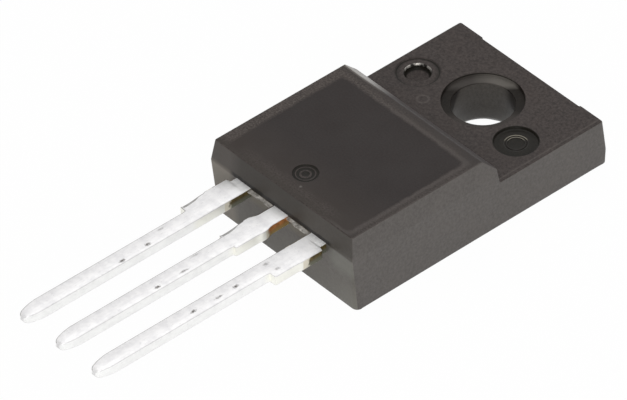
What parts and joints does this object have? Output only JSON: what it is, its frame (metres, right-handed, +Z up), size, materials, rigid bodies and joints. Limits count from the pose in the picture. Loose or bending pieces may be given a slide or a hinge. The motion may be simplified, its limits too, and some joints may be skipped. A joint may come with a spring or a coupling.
{
  "type": "voltage regulator",
  "caption": "Voltage regulator in a fully moulded flat power package: thick body, thinner tab with a screw hole, and flat tinned leads in a row.",
  "frame": {"origin": "centre of the screw hole on the back face", "axes": "+X across the row of leads, towards the output lead; +Y from the leads towards the tab's end; +Z up out of the back face towards the thick part's top"},
  "size_m": [0.01, 0.0294, 0.0044],
  "materials": {
    "epoxy": "fine spark-eroded grain, satin on the sides",
    "tinned_copper": "bright tin plating",
    "silicon": "polished",
    "solder": "dull",
    "wire": "drawn"
  },
  "bodies": {
    "root": {"moulded_body": "epoxy", "header_and_middle_lead": "tinned_copper", "input_lead": "tinned_copper", "output_lead": "tinned_copper", "die": "silicon", "die_solder": "solder", "input_wire": "wire", "output_wire": "wire", "ground_wire": "wire"}
  },
  "joints": []
}
